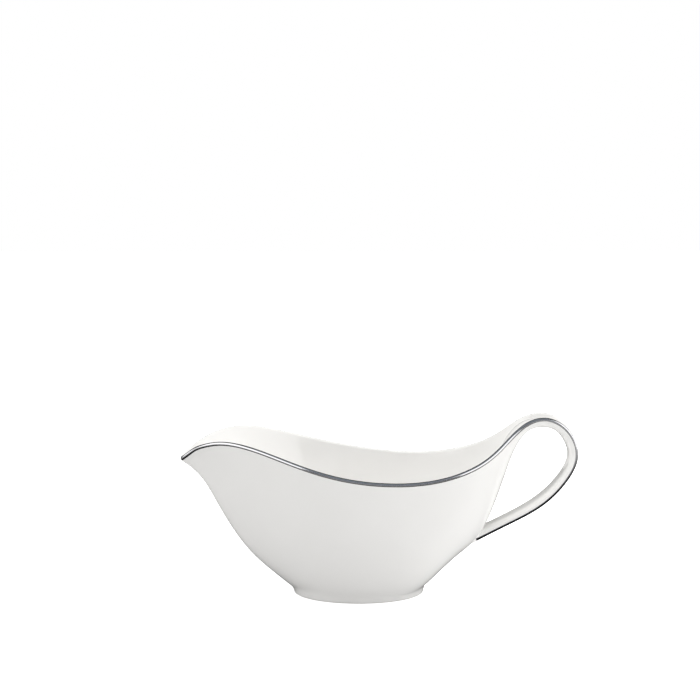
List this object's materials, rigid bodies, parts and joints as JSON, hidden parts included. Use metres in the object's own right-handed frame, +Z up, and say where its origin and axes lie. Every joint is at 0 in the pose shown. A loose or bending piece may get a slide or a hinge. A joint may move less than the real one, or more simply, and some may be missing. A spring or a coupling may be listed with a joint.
{
  "type": "sauce boat",
  "caption": "Open porcelain vessel for pouring sauce, with a long spout, a loop handle, an oval foot and a thin metallic line along the rim and the handle's edges.",
  "frame": {"origin": "middle of the bounding box in X and Y, at the height of the table the foot stands on", "axes": "+X towards the handle, -X towards the spout, +Y across the bowl, +Z up; the XZ plane is the mirror plane"},
  "size_m": [0.2243, 0.0914, 0.1027],
  "materials": {
    "glaze": "white porcelain under a clear gloss glaze",
    "biscuit": "unglazed, ground smooth, matt",
    "platinum": "fired platinum, bright"
  },
  "bodies": {
    "root": {"bowl_shell": "glaze", "foot_ring": "glaze", "foot_contact_band": "biscuit", "handle_strap": "glaze", "platinum_rim_line": "platinum", "platinum_handle_line_left": "platinum", "platinum_handle_line_right": "platinum"}
  },
  "joints": []
}
